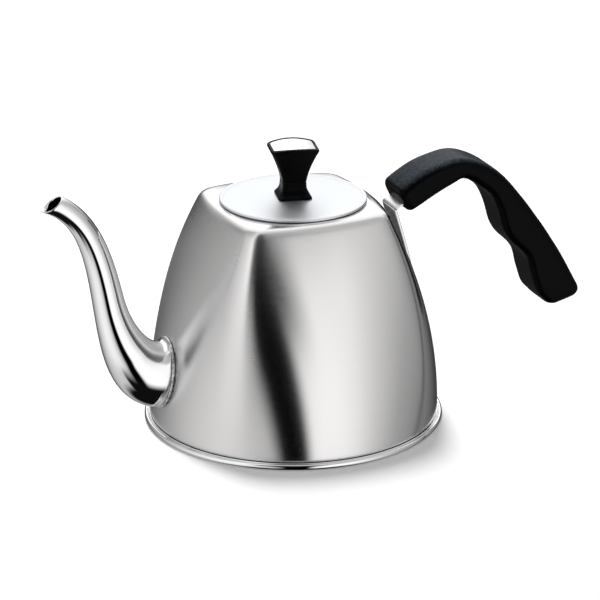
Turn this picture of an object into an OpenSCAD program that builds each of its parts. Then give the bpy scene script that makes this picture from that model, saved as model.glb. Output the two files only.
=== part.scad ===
// Gooseneck kettle. A pressed steel body, round at the foot and square at the shoulder, carries a
// tapered spout and a cantilever grip on a steel strap. A loose lid with a flared knob closes it.
// The origin is on the floor at the centre of the base, the spout points to -X and the grip to +X.

/* [Body] */
// Outer radius of the wall where it stands on the base seam
foot_r = 75.5; // [68:0.5:92]
// Height of the shoulder edge above the floor
shoulder_z = 117.7; // [100:0.1:142]
// From the axis to the middle of a side at the shoulder edge
shoulder_half_w = 42; // [41:0.5:54]
// Radius that the lower third of the wall is drawn towards
lower_pull_r = 75; // [66:0.5:90]
// Half width that the upper third of the wall is drawn towards
upper_pull_r = 63; // [54:0.5:76]
// Radius of the outward bow of each side at the shoulder
side_bow_r = 150; // [110:5:300]
// Radius of the four corners at the shoulder
shoulder_corner_r = 10; // [6:0.5:14]
// Size of the soft edge between the wall and the top deck
shoulder_edge = 4; // [2:0.5:5]
// Rise of the top deck from its edge to the lid opening
deck_rise = 0.5; // [0:0.1:2]
// Sheet thickness of the body
wall = 0.8; // [0.6:0.1:1.2]
// Radius of the lid opening
opening_r = 34.2; // [30:0.1:35]
// Depth of the turned-down flange in the lid opening
flange_depth = 6; // [3:0.5:9]

/* [Base] */
// How far the rolled seam stands out from the foot of the wall
seam_out = 2.5; // [1:0.1:4]
// Height of the rolled seam
seam_h = 3; // [2:0.1:5]
// Clearance between the seam and the floor
seam_lift = 0.6; // [0.2:0.1:1.5]
// Thickness of the base plate
plate_t = 1.2; // [0.8:0.1:2]
// Radius of the flat face that the kettle stands on
stand_r = 66; // [50:0.5:67]

/* [Spout] */
// Height of the spout root on the wall
spout_root_z = 34; // [28:0.5:42]
// Half the height of the spout's oval root
spout_root_r = 18.2; // [15:0.1:21]
// Half the width of the spout's oval root
spout_root_half_w = 15.2; // [12:0.1:18]
// Radius of the spout at half its height
spout_mid_r = 8.2; // [6.5:0.1:10]
// Radius of the spout at the mouth
spout_mouth_r = 5.4; // [4.5:0.1:7]
// How far the mouth stands out from the root
spout_reach = 55; // [45:0.5:70]
// How far the mouth stands above the root
spout_rise = 98; // [80:0.5:120]
// Sheet thickness of the spout
spout_wall = 0.8; // [0.6:0.1:1.2]
// Angle of the mouth's cut from square
mouth_cut = 29; // [0:1:40]
// Extra length of the pointed pouring lip
lip_len = 1.6; // [0:0.1:3]
// Width of the weld between the wall and the spout
weld_w = 1.6; // [1.2:0.1:2.4]

/* [Handle strap] */
// Width of the strap
strap_w = 16.5; // [12:0.5:18]
// Thickness of the strap
strap_t = 1.6; // [1.2:0.1:2.2]
// Height of the strap's lower end
strap_low_z = 56; // [48:1:62]
// Height at which the strap leaves the wall
strap_leave_z = 72; // [68:1:80]
// How far the strap's heel stands out from the shoulder
heel_out = 13; // [11:0.5:18]
// How far the strap's heel lies below the shoulder
heel_drop = 8.5; // [6:0.5:12]
// Slope of the tang inside the grip
tang_slope = 25; // [15:1:30]
// Length of the tang from the heel
tang_len = 31; // [28:0.5:34]

/* [Grip] */
// Width of the grip
grip_w = 26; // [20:0.5:32]
// Radius of the grip's long edges
grip_edge_r = 4.5; // [3:0.5:6]
// Radius of the rounding at the free end
grip_end_r = 6.5; // [3:0.5:6.5]
// How far the end over the strap leans from square
grip_front_lean = 0.5; // [0:0.5:3]
// How far the free end leans from square
grip_end_lean = 2.5; // [0:0.5:4]
// Distance of the grip screw from the heel
grip_screw_at = 20; // [16:0.5:22]

/* [Lid] */
// Outer radius of the lid
lid_r = 38; // [36.5:0.1:39]
// Thickness of the lid's rolled edge
lid_edge_t = 1.5; // [1.4:0.1:2.6]
// Sheet thickness of the lid
lid_t = 0.8; // [0.6:0.1:1.2]
// Rise of the lid from its edge to the knob
lid_dome = 0.4; // [0.2:0.1:4]
// Clearance between the lid's skirt and the opening
lid_fit = 0.6; // [0.4:0.1:1.5]
// Depth of the skirt below the deck
skirt_depth = 8; // [5:0.5:12]
// Angle at which the lid lies in its seat
lid_turn = -12; // [-90:1:90]

/* [Knob] */
// Side of the knob's square foot
knob_foot_w = 17.5; // [14:0.5:18]
// Width of the knob's waist
knob_waist_w = 12.5; // [10:0.5:13]
// Depth of the knob's waist
knob_waist_d = 12; // [9.5:0.5:13]
// Width of the knob's top
knob_top_w = 25; // [18:0.5:30]
// Depth of the knob's top
knob_top_d = 17.5; // [13:0.5:20]
// How far the long sides of the knob's top bow out
knob_bow = 2.7; // [0:0.1:3]
// Height of the foot, up to the waist joint
knob_foot_h = 8.6; // [7:0.1:11]
// Height of the knob's upper piece at its corners
knob_grip_h = 18; // [16:0.1:24]
// Rise of the arched top from its ends to its middle
knob_arch = 1.4; // [0.5:0.1:2.5]
// Thickness of the bright cap
cap_t = 1; // [0.8:0.1:1.5]
// Width of the dark rim around the cap
cap_rim = 1.5; // [1:0.1:2.5]

/* [Fasteners] */
// Radius of both screws
screw_r = 1.95; // [1.5:0.05:2]
// Radius of the grip screw's and the knob screw's heads
screw_head_r = 3.4; // [3:0.1:3.6]
// Height of the screw heads
screw_head_h = 2; // [1.5:0.1:2.4]
// Outer radius of the threaded inserts
insert_r = 3; // [2.6:0.1:3.4]
// Length of the threaded inserts
insert_len = 5.5; // [4:0.1:6]
// Clearance of a screw in its threaded insert
thread_fit = 0.05; // [0.02:0.01:0.1]
// Clearance of a screw in a plain hole
hole_fit = 0.25; // [0.1:0.05:0.4]
// Thickness of the washers
washer_t = 0.8; // [0.5:0.1:1.2]

/* [Hidden] */
$fn = 96;

steel = "lightsteelblue";
bright_steel = "silver";
black_plastic = "dimgray";
brass = "goldenrod";

// Gap that keeps pieces of one body from cutting into each other
seat_gap = 0.1;
// Points round the body, the spout, the grip and the knob
body_points = 80;
spout_points = 28;
edge_steps = 5;

// ---- Curves and skins -------------------------------------------------------------------------

function bezier(c, t) = pow(1 - t, 3) * c[0] + 3 * t * pow(1 - t, 2) * c[1]
    + 3 * t * t * (1 - t) * c[2] + pow(t, 3) * c[3];
function bezier_slope(c, t) = 3 * pow(1 - t, 2) * (c[1] - c[0]) + 6 * t * (1 - t) * (c[2] - c[1])
    + 3 * t * t * (c[3] - c[2]);
function mix(a, b, t) = a + (b - a) * t;
function reverse(list) = [for (i = [len(list) - 1:-1:0]) list[i]];
function last(list) = list[len(list) - 1];
function unit(v) = v / norm(v);

// A curve through every point of a list, at t from 0 to the number of spans
function through(p, t) =
    let (i = min(floor(t), len(p) - 2), u = t - i)
    let (a = i == 0 ? 2 * p[0] - p[1] : p[i - 1])
    let (d = i == len(p) - 2 ? 2 * p[i + 1] - p[i] : p[i + 2])
    (2 * p[i] + (p[i + 1] - a) * u + (2 * a - 5 * p[i] + 4 * p[i + 1] - d) * u * u
        + (3 * p[i] - a - 3 * p[i + 1] + d) * u * u * u) / 2;

// Offsets a flat path to its left by a distance at each point
function left_of(path, distance) = [
    for (i = [0:len(path) - 1])
        let (ahead = path[min(i + 1, len(path) - 1)], behind = path[max(i - 1, 0)])
        let (along = unit(ahead - behind))
        path[i] + distance * [-along[1], along[0]]
];

// Joins rings of points into a surface. A loop joins the last ring to the first, and otherwise
// both ends are capped.
module skin(rings, loop = false) {
    n = len(rings[0]);
    count = len(rings);
    spans = loop ? count : count - 1;
    sides = [
        for (i = [0:spans - 1], j = [0:n - 1])
            let (a = i * n, b = ((i + 1) % count) * n, k = (j + 1) % n)
            each [[a + j, b + j, b + k], [a + j, b + k, a + k]]
    ];
    top = (count - 1) * n;
    caps = loop ? [] : [for (j = [1:n - 2]) each [[0, j, j + 1], [top, top + j + 1, top + j]]];
    polyhedron(points = [for (ring = rings) each ring], faces = concat(sides, caps), convexity = 6);
}

// A rectangle with rounded corners, anticlockwise, whose sides along X are in a number of parts
function rounded_rectangle(w, d, r, parts = 1) =
    let (arcs = [for (corner = [0:3]) [for (step = [0:edge_steps])
        let (angle = 90 * corner + 90 * step / edge_steps)
        let (sx = corner == 0 || corner == 3 ? 1 : -1, sy = corner < 2 ? 1 : -1)
        [sx * (w / 2 - r) + r * cos(angle), sy * (d / 2 - r) + r * sin(angle)]]])
    [for (corner = [0:3]) each concat(
        arcs[corner],
        corner % 2 == 0 && parts > 1
            ? [for (i = [1:parts - 1]) mix(last(arcs[corner]), arcs[corner + 1][0], i / parts)]
            : []
    )];

// ---- Body wall --------------------------------------------------------------------------------

foot_z = seam_lift + seam_h;
// Blend of the corner radius from the round foot to the shoulder
corner_track = [foot_r - 15, 34, 20, shoulder_corner_r];
// Share of the wall's height where its soft edge starts
edge_start = 1 - shoulder_edge / (shoulder_z - foot_z);

function level(z) = (z - foot_z) / (shoulder_z - foot_z);
function side_half_w(t) = bezier([foot_r, lower_pull_r, upper_pull_r, shoulder_half_w], t);
function side_arc_r(t) = 1 / mix(1 / foot_r, 1 / side_bow_r, t);

// Radius of the outline at an angle: four bowed sides that four corner arcs join smoothly
function outline_r(angle, t) =
    let (half = side_half_w(t), bow = max(side_arc_r(t), half), corner = bezier(corner_track, t))
    let (off = bow - half, folded = abs(((angle + 45) % 90 + 90) % 90 - 45))
    let (c = (sqrt(2 * pow(bow - corner, 2) - off * off) - off) / 2)
    let (turn = atan2(c, c + off), meet = atan2(bow * sin(turn), bow * cos(turn) - off))
    folded < meet
        ? sqrt(bow * bow - pow(off * sin(folded), 2)) - off * cos(folded)
        : c * sqrt(2) * cos(45 - folded) + sqrt(corner * corner - pow(c * sqrt(2) * sin(45 - folded), 2));

// Distance of the wall from the axis plane, at a height and sideways offset on a side's middle
function wall_x(y, z) =
    let (t = level(z), half = side_half_w(t), bow = max(side_arc_r(t), half))
    sqrt(bow * bow - y * y) - (bow - half);

// Angles round the body, closer together at the corners
function body_angle(j) =
    let (even = 360 * j / body_points)
    even + 0.45 * sin(4 * even) * 180 / (4 * PI);

deck_z = shoulder_z + deck_rise;
lip_r = 1.2;
// The wall's path at an angle, as radius and height, from the foot over the deck to the flange
function body_path(angle) =
    let (edge_r = outline_r(angle, edge_start), corner = outline_r(angle, 1))
    let (edge_z = mix(foot_z, shoulder_z, edge_start), deck_in = corner - shoulder_edge)
    let (seat_r = opening_r + lip_r + 3)
    concat(
        [for (i = [0:14]) let (t = edge_start * i / 14)
            [outline_r(angle, t), mix(foot_z, shoulder_z, t)]],
        [for (i = [1:4]) let (t = i / 5) pow(1 - t, 2) * [edge_r, edge_z]
            + 2 * t * (1 - t) * [corner, shoulder_z] + t * t * [deck_in, shoulder_z + deck_rise / 4]],
        [[deck_in, shoulder_z + deck_rise / 4]],
        deck_in - seat_r > 1 ? [[seat_r, deck_z]] : [[deck_in - 1, deck_z]],
        [for (i = [0:3]) let (a = 90 + 30 * i)
            [opening_r + lip_r + lip_r * cos(a), deck_z - lip_r + lip_r * sin(a)]],
        [[opening_r, deck_z - flange_depth]]
    );

function body_rings() =
    let (outer = [for (j = [0:body_points - 1]) body_path(body_angle(j))])
    let (inner = [for (path = outer) left_of(path, wall)])
    let (n = len(outer[0]))
    concat(
        [for (i = [0:n - 1]) [for (j = [0:body_points - 1]) on_body(outer[j][i], j)]],
        [for (i = [n - 1:-1:0]) [for (j = [0:body_points - 1])
            on_body(i == 0 ? [inner[j][0][0], foot_z] : inner[j][i], j)]]
    );
function on_body(p, j) = [p[0] * cos(body_angle(j)), p[0] * sin(body_angle(j)), p[1]];

module body_shell() {
    color(steel)
    difference() {
        skin(body_rings(), loop = true);
        translate([-side_half_w(level(spout_root_z)) - 10, 0, spout_root_z])
            rotate([0, 90, 0])
                cylinder(r = min(spout_root_r, spout_root_half_w) - spout_wall - 1, h = 20);
    }
}

// ---- Base -------------------------------------------------------------------------------------

seam_in_r = foot_r - 1.2;
module base_seam() {
    color(bright_steel)
    rotate_extrude()
    difference() {
        translate([seam_in_r, seam_lift]) square([foot_r + seam_out - seam_in_r, seam_h]);
        seam_corner(seam_lift, 0);
        seam_corner(seam_lift + seam_h, 1);
    }
}

// What rounding takes off one outer corner of the seam
module seam_corner(z, up) {
    r = seam_h / 2 - 0.2;
    mirror([0, up])
    translate([foot_r + seam_out - r, up ? -z : z])
        difference() {
            translate([0, -1]) square(r + 1);
            translate([0, r]) circle(r);
        }
}

module base_plate() {
    step = 0.8;
    color(steel)
    rotate_extrude()
    polygon([
        [0, 0], [stand_r, 0], [stand_r + 2, step], [seam_in_r, step],
        [seam_in_r, step + plate_t], [stand_r + 1.5, step + plate_t], [stand_r - 0.5, plate_t],
        [0, plate_t]
    ]);
}

// ---- Spout ------------------------------------------------------------------------------------

root_x = side_half_w(level(spout_root_z)) + weld_w;
// Guide points of the centre line's two stretches, as shares of the reach and the rise
SPOUT_LOWER = [[0, 0], [0.23, 0.01], [0.405, 0.195], [0.485, 0.44]];
SPOUT_UPPER = [[0.485, 0.44], [0.56, 0.67], [0.655, 0.915], [1, 1]];
spout_lower_r = [spout_root_r, 0.92 * spout_root_r, 1.13 * spout_mid_r, spout_mid_r];
spout_upper_r = [spout_mid_r, 0.89 * spout_mid_r, 1.07 * spout_mouth_r, spout_mouth_r];
spout_steps = 13;
// The stretch over which the oval root turns round, and the stretch of the mouth's cut
root_end = 0.5;
mouth_start = 1.6;

// Centre, slope and radius of the spout at s, which is 0 at the root and 2 at the mouth
function spout_scaled(p) = [root_x + p[0] * spout_reach, spout_root_z + p[1] * spout_rise];
function spout_centre(s) = spout_scaled(s < 1 ? bezier(SPOUT_LOWER, s) : bezier(SPOUT_UPPER, s - 1));
function spout_slope(s) =
    let (v = s < 1 ? bezier_slope(SPOUT_LOWER, s) : bezier_slope(SPOUT_UPPER, s - 1))
    atan2(v[1] * spout_rise, v[0] * spout_reach);
function spout_r(s) = s < 1 ? bezier(spout_lower_r, s) : bezier(spout_upper_r, s - 1);
// How narrow the spout is for its height
function spout_oval(s) = mix(spout_root_half_w / spout_root_r, 1, min(1, s / root_end));

// Distance out and height of a point of a flat section, with a lean along the spout
function spout_section(s, r, around, lean) =
    spout_centre(s) + r * cos(around) * [-sin(spout_slope(s)), cos(spout_slope(s))]
        + lean * [cos(spout_slope(s)), sin(spout_slope(s))];
// A point of the root's outline, which follows the wall with a land in between
function root_y(around, inset) = (spout_root_half_w - inset) * sin(around);
function root_z(around, inset) = spout_root_z + (spout_root_r - inset) * cos(around);
function root_point(around, inset, land) =
    let (z = root_z(around, inset))
    [wall_x(root_y(around, inset), z) + land, z];

// What moves the first sections onto the root's outline
function root_shift(s, around) =
    pow(1 - min(1, s / root_end), 2)
        * (root_point(around, 0, weld_w) - spout_section(0, spout_root_r, around, 0));
// The last sections lean to the cut of the mouth and its pointed lip
function mouth_lean(s, around) =
    max(0, (s - mouth_start) / (2 - mouth_start))
        * (-spout_mouth_r * tan(mouth_cut) * cos(around) + lip_len * pow(max(0, -cos(around)), 6));

function spout_ring(s, r) = [
    for (j = [0:spout_points - 1])
        let (around = 360 * j / spout_points)
        let (p = spout_section(s, r, around, mouth_lean(s, around)) + root_shift(s, around))
        [-p[0], r * spout_oval(s) * sin(around), p[1]]
];

module spout_tube() {
    stations = [for (i = [0:2 * spout_steps]) i / spout_steps];
    color(bright_steel)
    skin(concat(
        [for (s = reverse(stations)) spout_ring(s, spout_r(s))],
        [for (s = stations) spout_ring(s, spout_r(s) - spout_wall)]
    ), loop = true);
}

// A bead that follows the root's outline between the wall and the spout
module spout_weld() {
    bead_r = weld_w / 2 - seat_gap;
    steps = 48;
    sides = 8;
    color(bright_steel)
    skin([
        for (i = [0:steps - 1])
            let (around = -360 * i / steps)
            [for (j = [0:sides - 1])
                let (a = 360 * j / sides, inset = spout_wall / 2 - bead_r * cos(a))
                let (x = root_point(around, spout_wall / 2, weld_w / 2 + bead_r * sin(a))[0])
                [-x, root_y(around, inset), root_z(around, inset)]]
    ], loop = true);
}

// ---- Handle strap -----------------------------------------------------------------------------

heel = [shoulder_half_w + heel_out, shoulder_z - heel_drop];
tang_dir = [cos(tang_slope), sin(tang_slope)];
tang_up = [-sin(tang_slope), cos(tang_slope)];
bend_r = 1.6;
function strap_on_wall(z) = [side_half_w(level(z)) + seat_gap + strap_t / 2, z];

// Lean of the strap's free stretch towards the axis, below the bend
strap_lean = 17;
strap_bend = [
    for (i = [0:5])
        let (a = mix(180 + strap_lean, 90 + tang_slope, i / 5))
        heel - bend_r * tang_up + bend_r * [cos(a), sin(a)]
];
strap_leave = strap_on_wall(strap_leave_z);
strap_rise = [
    strap_leave, strap_leave + [-1.5, 10],
    strap_bend[0] + 8 * [sin(strap_lean), -cos(strap_lean)], strap_bend[0]
];
strap_path = concat(
    [for (i = [0:5]) strap_on_wall(mix(strap_low_z, strap_leave_z, i / 6))],
    [for (i = [0:8]) bezier(strap_rise, i / 9)],
    strap_bend,
    [heel + tang_len * tang_dir]
);
weld_heights = [mix(strap_low_z, strap_leave_z, 0.3), mix(strap_low_z, strap_leave_z, 0.8)];
weld_r = 2;

// Stands a flat shape in the XZ plane upright, centred across the kettle
module across(w) {
    rotate([90, 0, 0])
        linear_extrude(w, center = true)
            children();
}

module on_tang(at) {
    translate([heel[0] + at * tang_dir[0], 0, heel[1] + at * tang_dir[1]])
        rotate([0, -tang_slope, 0])
            children();
}

// Places children on the wall where the strap is welded, with +Z pointing outwards
module at_welds() {
    for (z = weld_heights, side = [-1, 1]) {
        lean = atan2(side_half_w(level(z - 1)) - side_half_w(level(z + 1)), 2);
        translate([side_half_w(level(z)), side * strap_w / 4, z])
            rotate([0, 90 - lean, 0])
                children();
    }
}

module handle_strap() {
    color(bright_steel)
    difference() {
        across(strap_w)
            polygon(concat(left_of(strap_path, strap_t / 2), reverse(left_of(strap_path, -strap_t / 2))));
        on_tang(grip_screw_at) cylinder(r = screw_r + hole_fit, h = 10, center = true);
        at_welds() cylinder(r = weld_r, h = 10, center = true);
    }
}

// Plug welds that fill the strap's four holes
module strap_welds() {
    color(bright_steel)
    at_welds() translate([0, 0, seat_gap]) cylinder(r = weld_r - seat_gap / 2, h = strap_t + 0.3);
}

// ---- Grip -------------------------------------------------------------------------------------

// The outer line of the grip from the heel, with the thickness below it: along, up, thickness
GRIP = [
    [1.4, 11.2, 14.6], [14.4, 18.7, 15], [26.7, 22.2, 13.3], [35, 23.3, 11.6], [42.8, 21.5, 11],
    [52.3, 16.8, 12.4], [60.9, 9.4, 12.1], [68.4, 0.4, 14.7], [73.9, -6.6, 18.2], [78.9, -13.6, 19.7],
    [83.9, -20.6, 18.2], [88.4, -27.6, 17.2], [92.9, -34.6, 19.7], [96.9, -41.6, 21.2],
    [100.4, -48.1, 22.2], [103.4, -53.6, 20.7]
];
grip_spans = len(GRIP) - 1;
grip_front_r = 3.4;

function grip_point(t) = through(GRIP, t);
function grip_along(t) =
    let (d = grip_point(min(t + 0.05, grip_spans)) - grip_point(max(t - 0.05, 0)))
    unit([d[0], d[1]]);

// One section of the grip at t, moved on along the grip by a step and shrunk all round by an inset
function grip_ring(t, ahead, inset) =
    let (p = grip_point(t), along = grip_along(t), down = [along[1], -along[0]])
    let (mid = heel + [p[0], p[1]] + down * p[2] / 2 + along * ahead)
    let (ends = grip_front_lean * pow(1 - t / grip_spans, 8) + grip_end_lean * pow(t / grip_spans, 8))
    let (lean = ends / (p[2] / 2))
    [for (q = rounded_rectangle(grip_w - 2 * inset, p[2] - 2 * inset, grip_edge_r - inset * 0.5))
        let (r = mid - down * q[1] + along * q[1] * lean)
        [r[0], q[0], r[1]]];

function rounding(r, steps, t, way) = [
    for (i = [1:steps])
        let (a = 90 * i / steps)
        grip_ring(t, way * r * sin(a), r * (1 - cos(a)))
];

module grip_body() {
    skin(concat(
        reverse(rounding(grip_front_r, 3, 0, -1)),
        [for (i = [0:2 * grip_spans]) grip_ring(i / 2, 0, 0)],
        rounding(grip_end_r, 5, grip_spans, 1)
    ));
}

slot_fit = 0.15;
washer_top = -strap_t / 2;
head_top = washer_top - washer_t;
module grip() {
    color(black_plastic)
    difference() {
        grip_body();
        on_tang(-8)
            translate([0, -strap_w / 2 - slot_fit, -strap_t / 2 - slot_fit])
                cube([tang_len + 8 + slot_fit, strap_w + 2 * slot_fit, strap_t + 2 * slot_fit]);
        on_tang(grip_screw_at) {
            cylinder(r = insert_r, h = strap_t / 2 + seat_gap + insert_len);
            translate([0, 0, -20])
                cylinder(r = screw_head_r + hole_fit, h = 20);
        }
    }
}

module grip_screw() {
    color(bright_steel)
    on_tang(grip_screw_at)
        cross_screw(head_top, strap_t / 2 + seat_gap + insert_len - 0.5);
}

module grip_washer() {
    color(bright_steel)
    on_tang(grip_screw_at)
        translate([0, 0, head_top])
            washer();
}

module grip_insert() {
    color(brass)
    on_tang(grip_screw_at)
        translate([0, 0, strap_t / 2 + seat_gap])
            insert();
}

// ---- Fasteners --------------------------------------------------------------------------------

// A screw that points up from under its head to its tip, with a cross recess in the head
module cross_screw(under_head, tip) {
    slot_w = 1;
    slot_l = 3.6;
    difference() {
        union() {
            translate([0, 0, under_head - screw_head_h]) cylinder(r = screw_head_r, h = screw_head_h);
            translate([0, 0, under_head - 0.5]) cylinder(r = screw_r, h = tip - under_head + 0.5);
        }
        for (turn = [0, 90])
            rotate([0, 0, turn])
                translate([-slot_l / 2, -slot_w / 2, under_head - screw_head_h - 1])
                    cube([slot_l, slot_w, 2.2]);
    }
}

module washer() {
    difference() {
        cylinder(r = screw_head_r, h = washer_t);
        translate([0, 0, -1]) cylinder(r = screw_r + hole_fit, h = washer_t + 2);
    }
}

module insert() {
    difference() {
        cylinder(r = insert_r, h = insert_len);
        translate([0, 0, -1]) cylinder(r = screw_r + thread_fit, h = insert_len + 2);
    }
}

// ---- Lid --------------------------------------------------------------------------------------

lid_seat_gap = 0.3;
lid_low_z = deck_z + lid_seat_gap;
lid_edge_z = lid_low_z + lid_edge_t;
lid_top_z = lid_edge_z + lid_dome;
pad_r = 10.5;

// Places the lid's pieces at the angle at which the lid lies
module turned() {
    rotate([0, 0, lid_turn]) children();
}

// Height of the lid's upper face, flat round the pad and falling to the rolled edge
lid_rim_r = lid_edge_t / 2;
lid_rim_at = lid_r - lid_rim_r;
function lid_face(r) = lid_top_z - lid_dome * pow(max(0, r - pad_r) / (lid_rim_at - pad_r), 3);

module lid_disc() {
    steps = 12;
    dome = [for (i = [0:8]) mix(pad_r, lid_rim_at, i / 8)];
    under = [for (r = dome) if (r < lid_rim_at - lid_rim_r) [r, lid_face(r) - lid_t]];
    color(bright_steel)
    difference() {
        rotate_extrude()
        polygon(concat(
            [[0, lid_top_z]],
            [for (r = dome) [r, lid_face(r)]],
            [for (i = [1:steps]) let (a = 90 - 180 * i / steps)
                [lid_rim_at, lid_low_z + lid_rim_r] + lid_rim_r * [cos(a), sin(a)]],
            [[lid_rim_at - lid_rim_r, last(under)[1]]],
            reverse(under),
            [[0, lid_top_z - lid_t]]
        ));
        translate([0, 0, lid_top_z - 5]) cylinder(r = screw_r + hole_fit, h = 10);
    }
}

// The ring under the lid that drops into the opening, with the land that is welded to the lid
module lid_skirt() {
    skirt_r = opening_r - lid_fit;
    land_in = skirt_r - 4;
    under_out = lid_face(skirt_r) - lid_t - seat_gap;
    under_in = lid_face(land_in) - lid_t - seat_gap;
    color(steel)
    rotate_extrude()
    polygon([
        [skirt_r - wall, deck_z - skirt_depth], [skirt_r, deck_z - skirt_depth],
        [skirt_r, under_out], [land_in, under_in], [land_in, under_in - wall],
        [skirt_r - wall, under_out - wall]
    ]);
}

// ---- Knob -------------------------------------------------------------------------------------

knob_corner_r = 1.8;
knob_waist_z = lid_top_z + knob_foot_h;
knob_edge_z = knob_waist_z + knob_grip_h;
knob_bore_r = screw_r + hole_fit;

function knob_outline(w, d, z) = [for (p = rounded_rectangle(w, d, knob_corner_r)) [p[0], p[1], z]];

// A square foot with a crisp edge that sweeps in to the waist
module knob_foot() {
    foot_edge = 0.8;
    color(black_plastic)
    turned()
    difference() {
        skin(concat(
            [knob_outline(knob_foot_w, knob_foot_w, lid_top_z)],
            [for (i = [0:7])
                let (t = i / 7, pull = pow(1 - t, 3))
                knob_outline(
                    mix(knob_waist_w, knob_foot_w, pull),
                    mix(knob_waist_d, knob_foot_w, pull),
                    mix(lid_top_z + foot_edge, knob_waist_z, t)
                )]
        ));
        translate([0, 0, lid_top_z - 1]) cylinder(r = knob_bore_r, h = knob_foot_h + 2);
    }
}

// The outline of the knob's upper piece, inset from its largest by an amount on every side
flare_power = 1.35;
rim_band = 1.2;
function knob_section(flare, inset, r) =
    let (w = mix(knob_waist_w, knob_top_w, flare) - 2 * inset)
    let (d = mix(knob_waist_d, knob_top_d, flare) - 2 * inset)
    [for (p = rounded_rectangle(w, d, r, 8))
        [p[0], p[1] + sign(p[1]) * flare * knob_bow * (1 - pow(2 * p[0] / w, 2))]];
// Sets an outline at a height with the rise of the arch
function arched(outline, z, share = 1) = [
    for (p = outline)
        [p[0], p[1], z + share * knob_arch * (1 - pow(2 * p[0] / knob_top_w, 2))]
];
function shrunk(outline, k) = [for (p = outline) k * p];

module knob_upper() {
    n = 9;
    pocket = knob_section(1, cap_rim, 1);
    pocket_z = knob_edge_z - cap_t;
    color(black_plastic)
    turned()
    difference() {
        skin(concat(
            [for (i = [0:n])
                let (t = i / n, flare = pow(t, flare_power))
                arched(
                    knob_section(flare, 0, knob_corner_r),
                    mix(knob_waist_z, knob_edge_z - rim_band, t), flare)],
            [for (a = [30, 60])
                arched(
                    knob_section(1, 0.6 * cap_rim * (1 - cos(a)), knob_corner_r - 0.3),
                    mix(knob_edge_z - rim_band, knob_edge_z, sin(a)))],
            [arched(pocket, knob_edge_z)],
            [for (k = [1, 0.75, 0.5, 0.25]) arched(shrunk(pocket, k), pocket_z)]
        ));
        translate([0, 0, knob_waist_z - 1]) cylinder(r = insert_r, h = 1 + insert_len + 1);
    }
}

// A bright plate let into the arched top, a little below its rim
module knob_cap() {
    cap_low = 0.35;
    outline = knob_section(1, cap_rim + seat_gap, 1);
    shares = [0.25, 0.5, 0.75, 1];
    color(bright_steel)
    turned()
    skin(concat(
        [for (k = shares) arched(shrunk(outline, k), knob_edge_z - cap_t + seat_gap)],
        [for (k = reverse(shares)) arched(shrunk(outline, k), knob_edge_z - cap_low)]
    ));
}

knob_head_z = lid_top_z - lid_t - washer_t;
module knob_screw() {
    color(bright_steel)
    turned()
        cross_screw(knob_head_z, knob_waist_z + 0.5 + insert_len);
}

module knob_washer() {
    color(bright_steel)
    turned()
        translate([0, 0, knob_head_z])
            washer();
}

module knob_insert() {
    color(brass)
    turned()
        translate([0, 0, knob_waist_z + 1])
            insert();
}

body_shell();
base_plate();
base_seam();
spout_tube();
spout_weld();
handle_strap();
strap_welds();
grip();
grip_screw();
grip_washer();
grip_insert();
lid_disc();
lid_skirt();
knob_foot();
knob_upper();
knob_cap();
knob_screw();
knob_washer();
knob_insert();
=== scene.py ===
"""Gooseneck kettle: the visual model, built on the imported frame."""

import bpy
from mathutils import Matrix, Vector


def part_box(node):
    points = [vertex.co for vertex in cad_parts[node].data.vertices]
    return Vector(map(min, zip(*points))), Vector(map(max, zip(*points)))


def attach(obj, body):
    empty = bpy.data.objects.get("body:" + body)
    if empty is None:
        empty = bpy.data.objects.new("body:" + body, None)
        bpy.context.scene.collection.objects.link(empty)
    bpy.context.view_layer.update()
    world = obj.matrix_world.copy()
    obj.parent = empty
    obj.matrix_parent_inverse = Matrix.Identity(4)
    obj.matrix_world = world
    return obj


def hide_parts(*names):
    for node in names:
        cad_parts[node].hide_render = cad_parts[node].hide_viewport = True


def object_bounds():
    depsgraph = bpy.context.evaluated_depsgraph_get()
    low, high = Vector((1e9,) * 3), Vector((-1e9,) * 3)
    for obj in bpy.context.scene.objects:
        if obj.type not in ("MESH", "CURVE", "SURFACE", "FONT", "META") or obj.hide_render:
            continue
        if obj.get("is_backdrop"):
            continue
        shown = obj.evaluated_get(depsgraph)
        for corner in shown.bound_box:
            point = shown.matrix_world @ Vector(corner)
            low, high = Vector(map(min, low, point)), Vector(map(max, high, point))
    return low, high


bl_info = {
    "name": "Gooseneck Kettle",
    "version": (1, 0, 0),
    "blender": (4, 5, 0),
    "location": "3D View > Sidebar > Kettle",
    "description": "Builds a steel gooseneck kettle with a lift-off lid and a black side grip",
    "category": "Object",
}

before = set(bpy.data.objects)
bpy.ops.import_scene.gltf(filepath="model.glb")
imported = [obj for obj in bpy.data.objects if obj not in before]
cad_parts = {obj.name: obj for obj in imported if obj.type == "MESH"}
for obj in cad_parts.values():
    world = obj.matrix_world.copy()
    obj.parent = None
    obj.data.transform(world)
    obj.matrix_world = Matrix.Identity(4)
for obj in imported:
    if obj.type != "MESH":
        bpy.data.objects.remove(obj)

from math import atan2, copysign, cos, degrees, pi, radians, sin, sqrt, tan, tau

import bmesh
import bpy
from bpy.props import FloatProperty, FloatVectorProperty, PointerProperty
from mathutils import Matrix, Vector

CAD_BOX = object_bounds()
MM = 0.001


# ---- Sizes and colours ----

def length(name, description, default):
    """A length that the sidebar shows in the scene's unit."""
    return FloatProperty(
        name=name, description=description, default=default,
        min=0.0, soft_max=0.5, precision=4, subtype="DISTANCE", unit="LENGTH",
    )


def share(name, description, default):
    """A number from 0 to 1."""
    return FloatProperty(
        name=name, description=description, default=default, min=0.0, max=1.0, subtype="FACTOR"
    )


def colour(name, description, default):
    """A colour in linear red, green and blue."""
    return FloatVectorProperty(
        name=name, description=description, default=default, size=3, min=0.0, max=1.0, subtype="COLOR"
    )


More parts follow.
